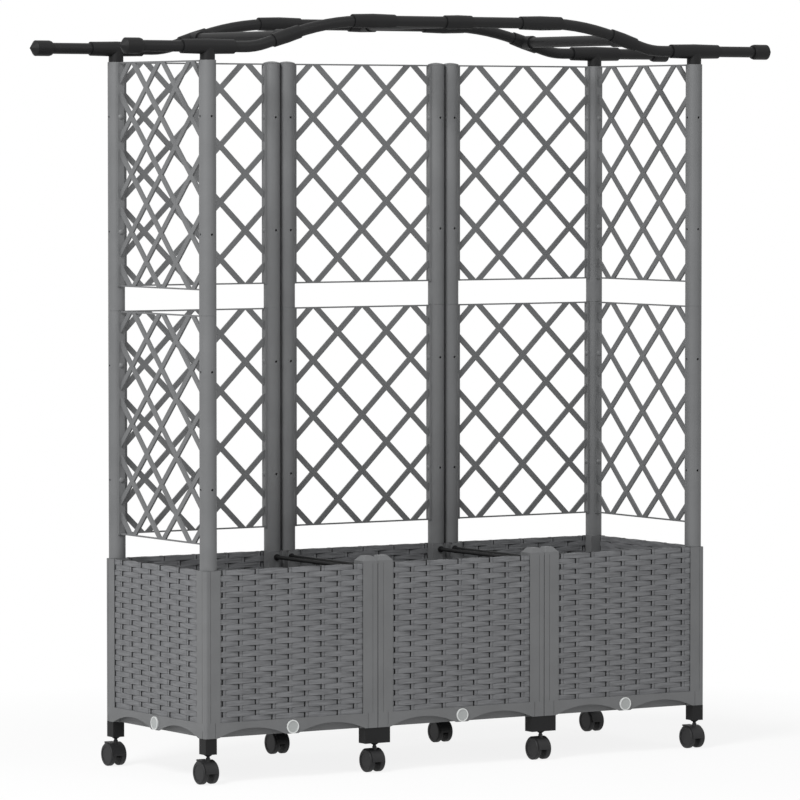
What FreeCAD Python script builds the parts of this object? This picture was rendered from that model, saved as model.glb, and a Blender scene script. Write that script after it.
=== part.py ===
import FreeCAD, Part
import math
import os
from types import SimpleNamespace

import Sketcher
from FreeCAD import Placement, Rotation, Vector

# A rolling planter of three square modules with a trellis on three sides and an arched top rail.
# X runs along the front, Y from the front to the back, Z up. The origin is on the floor, below
# the middle of the row of modules.

SIZES = (
    # the modules
    ("moduleSize", 399.2, "outer width and depth of one module"),
    ("moduleGap", 0.8, "gap between two modules"),
    ("baseHeight", 30.0, "height of a base tray"),
    ("columnHeight", 150.0, "height of one of the two stacked column pieces"),
    ("columnSize", 34.6, "width and depth of a column"),
    ("cornerRound", 6.0, "rounding of the outer corners of the row"),
    ("seamRound", 1.8, "rounding of the corners where two modules meet"),
    ("grooveInset", 11.5, "corner of a column to its fine groove"),
    ("grooveWidth", 1.0, "width of the fine groove"),
    ("grooveDepth", 0.6, "depth of the fine groove"),
    ("panelThickness", 10.0, "thickness of a woven wall panel"),
    ("panelInset", 1.6, "how far a panel stands back from the columns' faces"),
    ("slotDepth", 5.0, "how far a panel goes into a column"),
    ("slotPlay", 0.2, "gap between a panel and its slot, on each side"),
    ("spigotDiameter", 20.0, "pegs that locate posts and caps in the columns"),
    ("spigotPlay", 0.1, "radial gap round such a peg"),
    ("spigotLength", 40.0, "length of the pegs under the posts"),
    # the base trays
    ("skirtThickness", 3.0, "outer skirt of a tray"),
    ("skirtGap", 9.0, "space between the skirt and the trough wall"),
    ("troughWall", 3.0, "wall of the trough"),
    ("floorRise", 4.0, "bottom of the tray to the underside of its floor"),
    ("floorThickness", 3.0, "floor of the trough"),
    ("ledgeThickness", 3.0, "ledge that carries the panels"),
    ("cornerBlock", 38.0, "solid block at each corner of a tray"),
    ("archMargin", 28.5, "corner of a tray to the foot of an arch"),
    ("archRise", 17.0, "height of an arch"),
    ("scoreInset", 23.0, "corner of a tray to the score line on its front and back"),
    ("scoreWidth", 1.2, "width of a score line"),
    ("scoreDepth", 0.7, "depth of a score line"),
    # the drain plugs
    ("plugDiameter", 27.0, "flange of a drain plug"),
    ("plugFlange", 2.5, "thickness of that flange"),
    ("plugRim", 2.2, "width of its raised rim"),
    ("plugRecess", 1.0, "depth inside the rim"),
    ("plugShank", 12.4, "diameter of the shank"),
    ("plugLength", 14.6, "length of the shank"),
    ("plugPlay", 0.3, "radial gap round the shank"),
    ("plugHeight", 13.7, "bottom of the tray to the middle of the plug"),
    # the feet
    ("footSize", 25.5, "width of a square foot"),
    ("footInset", 1.5, "how far a foot stands in from the module's faces"),
    ("footHeight", 31.5, "height of a foot"),
    ("middleFootLength", 58.3, "length of a foot that spans two modules"),
    ("domeDiameter", 18.0, "round boss under a foot"),
    ("domeRise", 4.7, "height of that boss"),
    ("stemDiameter", 7.0, "steel stem of a caster"),
    ("stemPlay", 0.05, "radial running clearance of the stem"),
    ("stemInFoot", 26.0, "length of stem inside a foot"),
    ("stemInHood", 8.0, "length of stem inside a hood"),
    ("stemEndGap", 0.3, "gap below the end of the stem"),
    # the casters
    ("wheelDiameter", 46.0, "diameter of a wheel"),
    ("wheelWidth", 12.0, "width of one wheel"),
    ("wheelGap", 12.0, "space between the two wheels"),
    ("shoulderRound", 3.0, "rounding of a wheel's shoulders"),
    ("faceDiameter", 32.0, "recess in a wheel's outer face"),
    ("faceDepth", 0.8, "depth of that recess"),
    ("axleDiameter", 6.0, "axle of a caster"),
    ("axlePlay", 0.05, "radial running clearance of the axle"),
    ("trail", 8.0, "stem to axle, measured along the floor"),
    ("hoodPlay", 0.5, "gap between tread and hood"),
    ("hoodThickness", 1.5, "thickness of the hood"),
    ("hoodWidth", 28.0, "width of the hood"),
    ("hoodFrontDip", 3.0, "degrees that the hood reaches below the axle in front"),
    ("hoodBackRise", 30.0, "degrees above the axle where the hood ends behind"),
    ("webThickness", 9.0, "web between the wheels"),
    ("webFront", 16.0, "axle to the front of the web"),
    ("webBack", 4.0, "axle to the back of the web"),
    ("hubDiameter", 16.0, "boss of the web round the axle"),
    ("collarDiameter", 9.0, "collar round the stem on top of the hood"),
    ("collarTop", 52.2, "floor to the top of that collar"),
    ("neckLength", 2.6, "bare stem between collar and foot"),
    # the brake levers
    ("leverWidth", 18.0, "width of a brake lever"),
    ("leverFront", 7.5, "axle to the front edge of the lever"),
    ("leverReach", 23.0, "axle to the tip of the lever"),
    ("leverTop", 24.3, "axle to the top of the lever"),
    ("leverThickness", 3.0, "thickness of the lever"),
    ("leverPlay", 0.5, "gap between the lever and what is beside it"),
    ("pinDiameter", 3.0, "pin that the lever turns on"),
    ("pinPlay", 0.05, "radial running clearance of the pin"),
    ("pinBack", 9.0, "axle to the pin, backwards"),
    ("pinRise", 18.0, "axle to the pin, upwards"),
    ("eyeDiameter", 6.0, "eyes of the lever round the pin"),
    ("armThickness", 2.6, "each of the lever's two arms"),
    ("tailThickness", 4.0, "tail of the web that holds the pin"),
    # the posts
    ("postDiameter", 34.0, "outer diameter of a post"),
    ("postWall", 2.0, "wall of a post"),
    ("postSegment", 500.0, "length of one of a post's two segments"),
    ("postHole", 5.0, "screw holes in the posts"),
    ("firstHole", 110.0, "top of a segment to its upper holes"),
    ("secondHole", 341.0, "top of a segment to its lower holes"),
    ("jointDepth", 30.0, "how far one piece goes into the post below it"),
    ("jointPlay", 0.1, "radial gap in such a joint"),
    ("jointBevel", 0.5, "bevel at the ends of a segment"),
    ("postCapRim", 1.5, "straight edge of a post cap"),
    ("postCapRise", 3.0, "dome of a post cap"),
    # the column caps
    ("capEdge", 5.0, "straight edge of a column cap"),
    ("capHeight", 14.5, "height of a column cap"),
    ("capTop", 18.0, "width of a column cap's flat top"),
    ("capRound", 2.5, "rounding of a column cap"),
    # the tie rods
    ("tieDiameter", 8.0, "tie rod"),
    ("tieFlange", 13.0, "flange at each end of a tie rod"),
    ("tieFlangeThickness", 3.0, "thickness of that flange"),
    ("tieDrop", 12.0, "top of the box to the middle of a tie rod"),
    # the trellis
    ("trellisHeight", 451.0, "height of a trellis panel"),
    ("railWidth", 14.0, "side rail, across the panel"),
    ("railFace", 19.8, "middle of a post to the inner face of a side rail"),
    ("railDepth", 6.0, "side rail, along the panel, before the post's hollow"),
    ("postPlay", 0.15, "gap between a side rail and its post"),
    ("edgeStrip", 3.0, "height of the top and bottom strips"),
    ("slatWidth", 11.0, "width of a slat"),
    ("slatThickness", 4.0, "thickness of a slat"),
    ("crossWidth", 118.7, "crossing to crossing, sideways"),
    ("crossHeight", 115.5, "crossing to crossing, upwards"),
    ("railHole", 5.2, "screw holes in the side rails"),
    ("screwHead", 12.0, "head of a trellis screw"),
    ("screwRise", 3.3, "height of that head"),
    ("screwShank", 4.6, "shank of a trellis screw"),
    ("screwLength", 11.0, "length of that shank"),
    # the top rails
    ("tubeDiameter", 22.3, "rail tubes and crossbars"),
    ("tubeWall", 1.5, "wall of those tubes"),
    ("railRise", 26.3, "top of the posts to the low stretch of a rail"),
    ("bendRun", 12.3, "seam between two modules to where a rail begins to fall"),
    ("heelGap", 23.7, "foot of the lower bend to the tee of the corner post"),
    ("crestBend", 579.0, "radius of the upper bend"),
    ("slopeLength", 72.3, "straight slope between the bends"),
    ("heelBend", 169.0, "radius of the lower bend"),
    ("railOverhang", 187.7, "corner post to the end of a rail's tube"),
    ("fitPlay", 0.1, "radial gap between a fitting and its tube"),
    ("sleeveLength", 98.0, "sleeve that joins two tubes"),
    ("sleeveEnd", 26.8, "diameter at a sleeve's ends"),
    ("sleeveCrown", 29.2, "diameter at a sleeve's middle"),
    ("postTeeLength", 117.0, "tee on top of a post, along the rail"),
    ("postTeeEnd", 28.4, "diameter at that tee's ends"),
    ("postTeeCrown", 30.4, "diameter at that tee's middle"),
    ("crossTeeLength", 62.0, "tee that carries a crossbar, along the rail"),
    ("crossTeeEnd", 27.0, "diameter at that tee's ends"),
    ("crossTeeCrown", 28.4, "diameter at that tee's middle"),
    ("teeSetback", 22.5, "start of the slope to the middle of its tee"),
    ("socketDiameter", 28.4, "socket for a crossbar"),
    ("socketReach", 32.0, "rail to the mouth of that socket"),
    ("socketGrip", 16.0, "length of crossbar inside it"),
    ("endCapDiameter", 31.4, "cap on the end of a rail"),
    ("endCapGrip", 39.0, "length of tube inside a cap"),
    ("endCapNose", 9.0, "end of the tube to the tip of its cap"),
    ("endCapCone", 12.5, "length of the cap's cone"),
    ("endCapLip", 3.0, "wall of the cap less its bevel, at its open edge"),
    ("endCapBevel", 4.5, "length of the bevel at that edge"),
    ("endCapRound", 1.5, "rounding of the cap's shoulders"),
)

FIT = 1e-6          # how closely places are compared, in mm
OVERRUN = 1.0       # how far a cutting tool runs past what it cuts, in mm

doc = FreeCAD.newDocument("planter_with_trellis")


class Size:
    """A size together with the sheet expression that gives it."""

    def __init__(self, value, text):
        self.value = float(value)
        self.text = text

    def __add__(self, other):
        other = size(other)
        return Size(self.value + other.value, f"({self.text} + {other.text})")

    def __sub__(self, other):
        other = size(other)
        return Size(self.value - other.value, f"({self.text} - {other.text})")

    def __mul__(self, other):
        other = size(other)
        return Size(self.value * other.value, f"({self.text} * {other.text})")

    def __truediv__(self, other):
        other = size(other)
        return Size(self.value / other.value, f"({self.text} / {other.text})")

    def __neg__(self):
        return Size(0, "0") - self

    def __radd__(self, other):
        return size(other) + self

    def __rsub__(self, other):
        return size(other) - self

    def __rmul__(self, other):
        return size(other) * self


def size(value):
    """A plain number as a Size; a Size as it is."""
    if isinstance(value, Size):
        return value
    return Size(value, f"({value})" if value < 0 else f"{value}")


def sine(angle):
    return Size(math.sin(math.radians(angle.value)), f"sin({angle.text})")


def cosine(angle):
    return Size(math.cos(math.radians(angle.value)), f"cos({angle.text})")


def arcsine(ratio):
    """The angle in plain degrees."""
    return Size(math.degrees(math.asin(ratio.value)), f"(asin({ratio.text}) / 1 deg)")


def arctangent(ratio):
    """The angle in plain degrees."""
    return Size(math.degrees(math.atan(ratio.value)), f"(atan({ratio.text}) / 1 deg)")


def root(value):
    return Size(math.sqrt(value.value), f"sqrt({value.text})")


def write_sheet():
    """Fill the spreadsheet and return its sizes by name."""
    sheet = doc.addObject("Spreadsheet::Sheet", "dims")
    named = {}
    for row, (alias, value, meaning) in enumerate(SIZES, start=1):
        sheet.set(f"A{row}", alias)
        sheet.set(f"B{row}", str(value))
        sheet.set(f"C{row}", meaning)
        sheet.setAlias(f"B{row}", alias)
        named[alias] = Size(value, f"dims.{alias}")
    doc.recompute()
    return SimpleNamespace(**named)


D = write_sheet()


# ---------------------------------------------------------------- document helpers


def bind(obj, **values):
    """Tie properties of an object to sheet expressions."""
    for name, value in values.items():
        obj.setExpression(name, size(value).text)
    return obj


def place(obj, x=0, y=0, z=0, axis=(0, 0, 1), angle=0):
    """Put an object at x, y, z, turned by an angle about an axis."""
    spot = Vector(size(x).value, size(y).value, size(z).value)
    obj.Placement = Placement(spot, Rotation(Vector(*axis), size(angle).value))
    obj.setExpression("Placement.Base.x", size(x).text)
    obj.setExpression("Placement.Base.y", size(y).text)
    obj.setExpression("Placement.Base.z", size(z).text)
    if isinstance(angle, Size):
        obj.setExpression("Placement.Rotation.Angle", angle.text)
    return obj


def block(length, width, height, x=0, y=0, z=0):
    """A box centred on x and y, standing on z."""
    solid = bind(doc.addObject("Part::Box", "block"), Length=length, Width=width, Height=height)
    return place(solid, size(x) - size(length) / 2, size(y) - size(width) / 2, z)


def rod(diameter, length, x=0, y=0, z=0, along="z"):
    """A cylinder that starts at x, y, z and runs along X, Y or Z."""
    turns = {"x": ((0, 1, 0), 90), "y": ((1, 0, 0), -90), "z": ((0, 0, 1), 0)}
    solid = bind(doc.addObject("Part::Cylinder", "rod"), Radius=size(diameter) / 2, Height=length)
    return place(solid, x, y, z, *turns[along])


def taper(start, end, length, x=0, y=0, z=0, axis=(0, 0, 1), angle=0):
    """A cone frustum from one diameter to another."""
    solid = doc.addObject("Part::Cone", "taper")
    bind(solid, Radius1=size(start) / 2, Radius2=size(end) / 2, Height=length)
    return place(solid, x, y, z, axis, angle)


def dome(diameter, rise, z=0, downwards=False, sideways=False):
    """A cap cut off a ball: its flat face stands at height z, or on X = 0 if it bulges towards -X."""
    ball = (diameter * diameter / 4 + rise * rise) / (2 * rise)
    solid = bind(doc.addObject("Part::Sphere", "dome"), Radius=ball)
    solid.setExpression("Angle1", arcsine((ball - rise) / ball).text)
    if sideways:
        return place(solid, ball - rise, 0, z, (0, -1, 0), 90)
    if downwards:
        return place(solid, 0, 0, size(z) + ball - rise, (1, 0, 0), 180)
    return place(solid, 0, 0, size(z) - ball + rise)


def fuse(*solids):
    joined = doc.addObject("Part::MultiFuse", "joined")
    joined.Shapes = list(solids)
    joined.Refine = True
    return joined


def common(*solids):
    shared = doc.addObject("Part::MultiCommon", "shared")
    shared.Shapes = list(solids)
    return shared


def cut(solid, *tools):
    """A solid less one or more others."""
    result = doc.addObject("Part::Cut", "cut")
    result.Base = solid
    result.Tool = tools[0] if len(tools) == 1 else fuse(*tools)
    return result


def copy_of(piece, x=0, y=0, z=0, turn=0):
    """A further copy of a piece, turned about Z by some degrees and put in place."""
    linked = doc.addObject("App::Link", "copy")
    linked.LinkedObject = piece
    return place(linked, x, y, z, (0, 0, 1), turn)


NODES = []


def node(label, *pieces):
    """One named sub-part, made of one or more separate pieces."""
    group = doc.addObject("Part::Compound", label)
    group.Label = label
    group.Links = list(pieces)
    NODES.append(group)
    return group


# ---------------------------------------------------------------- sketches and bodies


def new_body(name):
    return doc.addObject("PartDesign::Body", name)


def origin_part(body, role):
    return next(item for item in body.Origin.OriginFeatures if item.Role == role)


def sketch_on(body, plane, offset=0):
    """A sketch on one of the body's own origin planes, moved along its normal."""
    sketch = body.newObject("Sketcher::SketchObject", "sketch")
    sketch.AttachmentSupport = [(origin_part(body, plane), "")]
    sketch.MapMode = "FlatFace"
    sketch.setExpression("AttachmentOffset.Base.z", size(offset).text)
    return sketch


def hold(sketch, edge, end, x, y):
    """Fix one end of a sketch edge at x, y from the sketch's origin."""
    for value, kind, axis in ((size(x), "DistanceX", -2), (size(y), "DistanceY", -1)):
        if value.text == "0":
            sketch.addConstraint(Sketcher.Constraint("PointOnObject", edge, end, axis))
            continue
        index = sketch.addConstraint(Sketcher.Constraint(kind, -1, 1, edge, end, value.value))
        sketch.setExpression(f"Constraints[{index}]", value.text)


def bend(start, end, radius, side):
    """The arc from start to end that turns left (side 1) or right (side -1)."""
    chord = end - start
    across = Vector(-chord.y, chord.x, 0).normalize() * side
    reach = math.sqrt(max(radius ** 2 - chord.Length ** 2 / 4, 0.0))
    centre = (start + end) / 2 + across * reach
    first, last = (start, end) if side > 0 else (end, start)
    angles = [math.atan2(spot.y - centre.y, spot.x - centre.x) for spot in (first, last)]
    return Part.ArcOfCircle(Part.Circle(centre, Vector(0, 0, 1), radius), *angles)


def draw(sketch, points, bends=None, closed=True):
    """Lines through the points; bends gives (radius, side) for edges that are arcs."""
    bends = bends or {}
    spots = [Vector(size(x).value, size(y).value, 0) for x, y in points]
    count = len(points) if closed else len(points) - 1
    ends = []
    for number in range(count):
        start, end = spots[number], spots[(number + 1) % len(spots)]
        if number in bends:
            radius, side = bends[number]
            edge = sketch.addGeometry(bend(start, end, radius.value, side), False)
            index = sketch.addConstraint(Sketcher.Constraint("Radius", edge, radius.value))
            sketch.setExpression(f"Constraints[{index}]", radius.text)
            ends.append((edge, 1, 2) if side > 0 else (edge, 2, 1))
        else:
            edge = sketch.addGeometry(Part.LineSegment(start, end), False)
            ends.append((edge, 1, 2))
        hold(sketch, edge, ends[-1][1], *points[number])
    for number in range(count - (0 if closed else 1)):
        edge, _, last = ends[number]
        after, first, _ = ends[(number + 1) % count]
        sketch.addConstraint(Sketcher.Constraint("Coincident", edge, last, after, first))
    if not closed:
        hold(sketch, ends[-1][0], ends[-1][2], *points[-1])
    return sketch


def rectangle(sketch, x, y, width, height):
    """A rectangle centred on x, y."""
    left, right = size(x) - size(width) / 2, size(x) + size(width) / 2
    low, high = size(y) - size(height) / 2, size(y) + size(height) / 2
    return draw(sketch, [(left, low), (right, low), (right, high), (left, high)])


def ring(sketch, x, y, diameter):
    """A circle centred on x, y."""
    spot = Vector(size(x).value, size(y).value, 0)
    circle = Part.Circle(spot, Vector(0, 0, 1), size(diameter).value / 2)
    edge = sketch.addGeometry(circle, False)
    hold(sketch, edge, 3, x, y)
    index = sketch.addConstraint(Sketcher.Constraint("Radius", edge, size(diameter).value / 2))
    sketch.setExpression(f"Constraints[{index}]", (size(diameter) / 2).text)
    return sketch


def pad(body, sketch, length, both_ways=False):
    feature = body.newObject("PartDesign::Pad", "pad")
    feature.Profile = sketch
    feature.Midplane = both_ways
    return bind(feature, Length=length)


def pocket(body, sketch, length, upwards=False, both_ways=False):
    """Cut against the sketch's normal, or along it with upwards."""
    feature = body.newObject("PartDesign::Pocket", "pocket")
    feature.Profile = sketch
    feature.Reversed = upwards
    feature.Midplane = both_ways
    return bind(feature, Length=length)


def revolve(body, sketch, axis):
    feature = body.newObject("PartDesign::Revolution", "turned")
    feature.Profile = sketch
    feature.ReferenceAxis = (sketch, [axis])
    feature.Angle = 360
    return feature


def round_edges(body, radius, wanted, kind="PartDesign::Fillet"):
    """Round, or bevel, every edge of the body's last feature that a test picks out."""
    doc.recompute()
    last = body.Tip
    names = [f"Edge{n}" for n, edge in enumerate(last.Shape.Edges, start=1) if wanted(edge)]
    feature = body.newObject(kind, "rounded")
    feature.Base = (last, names)
    if kind == "PartDesign::Fillet":
        return bind(feature, Radius=radius)
    return bind(feature, Size=radius)


def upright_at(x, y):
    """A test for the upright edge that stands at x, y."""

    def wanted(edge):
        box = edge.BoundBox
        near = abs(box.Center.x - x.value) < FIT and abs(box.Center.y - y.value) < FIT
        return near and box.XLength < FIT and box.YLength < FIT

    return wanted


def circle_of(diameter):
    """A test for full circles of one diameter."""

    def wanted(edge):
        return hasattr(edge.Curve, "Radius") and abs(edge.Curve.Radius - diameter.value / 2) < FIT

    return wanted


def turned(name, profile):
    """A body turned about Z from a profile of (radius, height) points."""
    body = new_body(name)
    revolve(body, draw(sketch_on(body, "XZ_Plane"), profile), "V_Axis")
    return body


# ---------------------------------------------------------------- heights and places

AXLE_HEIGHT = D.wheelDiameter / 2
FOOT_BOTTOM = D.collarTop + D.neckLength + D.domeRise
BASE_BOTTOM = FOOT_BOTTOM + D.footHeight
COLUMN_BOTTOM = BASE_BOTTOM + D.baseHeight
BOX_TOP = COLUMN_BOTTOM + 2 * D.columnHeight
POST_TOP = BOX_TOP + 2 * D.postSegment
RAIL_LINE = POST_TOP + D.railRise

MODULE_HALF = D.moduleSize / 2
PITCH = D.moduleSize + D.moduleGap
POST_REACH = (D.moduleSize - D.columnSize) / 2
FOOT_REACH = MODULE_HALF - D.footInset - D.footSize / 2
CORNER_X = PITCH + POST_REACH
SEAM_X = PITCH / 2

MODULES = (("left", -PITCH), ("middle", size(0)), ("right", PITCH))

# Casters and feet stand under the four seams and corners of the front and of the back.
CASTERS = (
    ("front_left", -(PITCH + FOOT_REACH), -FOOT_REACH),
    ("front_middle_left", -SEAM_X, -FOOT_REACH),
    ("front_middle_right", SEAM_X, -FOOT_REACH),
    ("front_right", PITCH + FOOT_REACH, -FOOT_REACH),
    ("back_left", -(PITCH + FOOT_REACH), FOOT_REACH),
    ("back_middle_left", -SEAM_X, FOOT_REACH),
    ("back_middle_right", SEAM_X, FOOT_REACH),
    ("back_right", PITCH + FOOT_REACH, FOOT_REACH),
)
BRAKED = ("front_left", "front_right", "back_left", "back_right")

CORNER_POSTS = tuple((x, y) for x in (-CORNER_X, CORNER_X) for y in (-POST_REACH, POST_REACH))
SEAM_POSTS_X = tuple(seam + side * (PITCH / 2 - POST_REACH)
                     for seam in (-SEAM_X, SEAM_X) for side in (-1, 1))


# ---------------------------------------------------------------- the base trays


def base_tray(name, rounds):
    """A tray with an arched skirt; rounds gives the rounding of its left and right corners."""
    body = new_body(name)
    half = MODULE_HALF
    inner = half - D.skirtThickness
    wall = inner - D.skirtGap
    trough = 2 * (wall - D.troughWall)
    between = D.moduleSize - 2 * D.cornerBlock
    pad(body, rectangle(sketch_on(body, "XY_Plane"), 0, 0, D.moduleSize, D.moduleSize), D.baseHeight)
    for side, radius in zip((-1, 1), rounds):
        corners = [upright_at(side * half, end * half) for end in (-1, 1)]
        round_edges(body, radius, lambda edge: any(test(edge) for test in corners))
    floor_top = D.floorRise + D.floorThickness
    hollow = rectangle(sketch_on(body, "XY_Plane", floor_top), 0, 0, trough, trough)
    pocket(body, hollow, D.baseHeight, upwards=True)
    for width, depth in ((between, 2 * wall), (2 * wall, between)):
        underside = rectangle(sketch_on(body, "XY_Plane"), 0, 0, width, depth)
        pocket(body, underside, D.floorRise, upwards=True)
    channel = rectangle(sketch_on(body, "XY_Plane"), 0, -(inner - D.skirtGap / 2), between, D.skirtGap)
    cuts = [pocket(body, channel, D.baseHeight - D.ledgeThickness, upwards=True)]
    arch_foot = half - D.archMargin
    arch_half = (arch_foot - D.plugDiameter / 2) / 2
    arch_radius = (arch_half * arch_half + D.archRise * D.archRise) / (2 * D.archRise)
    for side in (-1, 1):
        arch = ring(sketch_on(body, "XZ_Plane", half), side * (arch_foot - arch_half),
                    D.archRise - arch_radius, 2 * arch_radius)
        cuts.append(pocket(body, arch, D.skirtThickness + D.skirtGap / 2))
    hole = ring(sketch_on(body, "XZ_Plane", half), 0, D.plugHeight, D.plugShank + 2 * D.plugPlay)
    cuts.append(pocket(body, hole, D.skirtThickness + D.skirtGap + D.troughWall + OVERRUN))
    pattern = body.newObject("PartDesign::PolarPattern", "four_sides")
    pattern.Originals = cuts
    pattern.Axis = (origin_part(body, "Z_Axis"), [""])
    pattern.Angle = 360
    pattern.Occurrences = 4
    body.Tip = pattern
    score_lines(body)
    return body


def score_lines(body):
    """Upright score lines beside the corners: whole ones in front and behind, half ones on the ends."""
    across = MODULE_HALF - D.scoreInset
    along = MODULE_HALF - D.grooveInset
    whole = sketch_on(body, "XY_Plane")
    for x, y in ((-1, -1), (1, -1), (-1, 1), (1, 1)):
        rectangle(whole, x * across, y * MODULE_HALF, D.scoreWidth, 2 * D.scoreDepth)
    pocket(body, whole, D.baseHeight, upwards=True)
    half = sketch_on(body, "XY_Plane")
    for x, y in ((-1, -1), (1, -1), (-1, 1), (1, 1)):
        rectangle(half, x * MODULE_HALF, y * along, 2 * D.scoreDepth, D.scoreWidth)
    pocket(body, half, D.baseHeight / 2, upwards=True)


def base_trays():
    end_tray = base_tray("end_tray", (D.cornerRound, D.seamRound))
    middle_tray = base_tray("middle_tray", (D.seamRound, D.seamRound))
    node("base_tray_left", copy_of(end_tray, -PITCH, 0, BASE_BOTTOM))
    node("base_tray_middle", copy_of(middle_tray, 0, 0, BASE_BOTTOM))
    node("base_tray_right", copy_of(end_tray, PITCH, 0, BASE_BOTTOM, turn=180))


def drain_plug():
    """A plug whose flange stands on X = 0 and whose shank runs along -X."""
    body = new_body("drain_plug")
    rim = D.plugDiameter / 2
    well = rim - D.plugRim
    profile = [
        (-D.plugLength, 0),
        (-D.plugLength, D.plugShank / 2),
        (0, D.plugShank / 2),
        (0, rim),
        (D.plugFlange, rim),
        (D.plugFlange, well),
        (D.plugFlange - D.plugRecess, well),
        (D.plugFlange - D.plugRecess, 0),
    ]
    revolve(body, draw(sketch_on(body, "XY_Plane"), profile), "H_Axis")
    return body


def drain_plugs():
    plug = drain_plug()
    height = BASE_BOTTOM + D.plugHeight
    for name, x in MODULES:
        node(f"drain_plug_front_{name}", copy_of(plug, x, -MODULE_HALF, height, turn=-90))
    for name, x in MODULES:
        node(f"drain_plug_back_{name}", copy_of(plug, x, MODULE_HALF, height, turn=90))
    reach = PITCH + MODULE_HALF
    node("drain_plug_left_end", copy_of(plug, -reach, 0, height, turn=180))
    node("drain_plug_right_end", copy_of(plug, reach, 0, height))


# ---------------------------------------------------------------- columns and wall panels


def column(name, corner_radius):
    """A column piece whose module corner is at -X, -Y, with slots for two panels."""
    body = new_body(name)
    half = D.columnSize / 2
    groove = -half + D.grooveInset
    ridge = groove + D.grooveWidth
    sunk = -half + D.grooveDepth
    slot = -half + D.panelInset - D.slotPlay
    slot_end = slot + D.panelThickness + 2 * D.slotPlay
    slot_floor = half - D.slotDepth
    outline = [
        (-half, -half), (groove, -half), (groove, sunk), (ridge, sunk), (ridge, -half),
        (half, -half), (half, slot), (slot_floor, slot), (slot_floor, slot_end), (half, slot_end),
        (half, half), (slot_end, half), (slot_end, slot_floor), (slot, slot_floor), (slot, half),
        (-half, half), (-half, ridge), (sunk, ridge), (sunk, groove), (-half, groove),
    ]
    section = draw(sketch_on(body, "XY_Plane"), outline)
    ring(section, 0, 0, D.spigotDiameter + 2 * D.spigotPlay)
    pad(body, section, D.columnHeight)
    round_edges(body, corner_radius, upright_at(-half, -half))
    return body


def column_places(corner, seam):
    """Which column stands where: (piece, x, y, turn) for the twelve columns."""
    places = []
    for _, middle in MODULES:
        for side_x, side_y, turn in ((-1, -1, 0), (1, -1, 90), (1, 1, 180), (-1, 1, 270)):
            x = middle + side_x * POST_REACH
            at_end = abs(x.value) > PITCH.value
            places.append((corner if at_end else seam, x, side_y * POST_REACH, turn))
    return places


def columns():
    corner = column("corner_column", D.cornerRound)
    seam = column("seam_column", D.seamRound)
    for label, z in (("columns_lower", COLUMN_BOTTOM), ("columns_upper", COLUMN_BOTTOM + D.columnHeight)):
        places = column_places(corner, seam)
        node(label, *(copy_of(piece, x, y, z, turn=turn) for piece, x, y, turn in places))


def wall_panels():
    """Flat panels between the columns; the weave is only skin deep."""
    length = D.moduleSize - 2 * D.columnSize + 2 * (D.slotDepth - D.slotPlay)
    height = 2 * D.columnHeight
    reach = MODULE_HALF - D.panelInset - D.panelThickness / 2
    for name, x in MODULES:
        for side, y in (("front", -reach), ("back", reach)):
            node(f"wall_{side}_{name}", block(length, D.panelThickness, height, x, y, COLUMN_BOTTOM))
    for name, x in (("left", -(PITCH + reach)), ("right", PITCH + reach)):
        node(f"wall_end_{name}", block(D.panelThickness, length, height, x, 0, COLUMN_BOTTOM))


def column_cap():
    """The cap on a front column: a low block that narrows to a flat top."""
    body = new_body("column_cap")
    lower = rectangle(sketch_on(body, "XY_Plane"), 0, 0, D.columnSize, D.columnSize)
    pad(body, lower, D.capEdge)
    loft = body.newObject("PartDesign::AdditiveLoft", "narrowing")
    loft.Profile = rectangle(sketch_on(body, "XY_Plane", D.capEdge), 0, 0, D.columnSize, D.columnSize)
    loft.Sections = [rectangle(sketch_on(body, "XY_Plane", D.capHeight), 0, 0, D.capTop, D.capTop)]
    loft.Ruled = True
    round_edges(body, D.capRound, lambda edge: edge.BoundBox.ZMax > D.capEdge.value + FIT)
    peg = ring(sketch_on(body, "XY_Plane"), 0, 0, D.spigotDiameter)
    stub = pad(body, peg, D.spigotLength / 2)
    stub.Reversed = True
    return body


def post_cap():
    """The closed top of a back post that carries no rail."""
    inside = D.postDiameter - 2 * D.postWall - 2 * D.jointPlay
    return fuse(
        rod(D.postDiameter, D.postCapRim),
        dome(D.postDiameter, D.postCapRise, z=D.postCapRim),
        rod(inside, D.jointDepth, z=-D.jointDepth),
    )


def top_caps():
    cap = column_cap()
    closed_top = post_cap()
    fronts = [copy_of(cap, x, -POST_REACH, BOX_TOP) for x in SEAM_POSTS_X]
    backs = [copy_of(closed_top, x, POST_REACH, POST_TOP) for x in SEAM_POSTS_X]
    node("top_caps", *fronts, *backs)


def tie_rods():
    """Rods that hold the front and back walls together at the two seams."""
    span = 2 * (POST_REACH - D.columnSize / 2)
    flange = D.tieFlangeThickness
    profile = [
        (0, 0), (D.tieFlange / 2, 0), (D.tieFlange / 2, flange), (D.tieDiameter / 2, flange),
        (D.tieDiameter / 2, span - flange), (D.tieFlange / 2, span - flange), (D.tieFlange / 2, span),
        (0, span),
    ]
    body = new_body("tie_rod")
    revolve(body, draw(sketch_on(body, "XY_Plane"), profile), "V_Axis")
    node("tie_rods", *(copy_of(body, x, -span / 2, BOX_TOP - D.tieDrop) for x in SEAM_POSTS_X))


# ---------------------------------------------------------------- feet and casters


def foot(length):
    """A foot with a round boss below Z = 0 and the bore for a caster's stem."""
    solid = fuse(
        block(length, D.footSize, D.footHeight),
        dome(D.domeDiameter, D.domeRise, downwards=True),
    )
    bore = rod(D.stemDiameter + 2 * D.stemPlay, D.stemInFoot, z=-D.domeRise)
    return cut(solid, bore)


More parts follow.
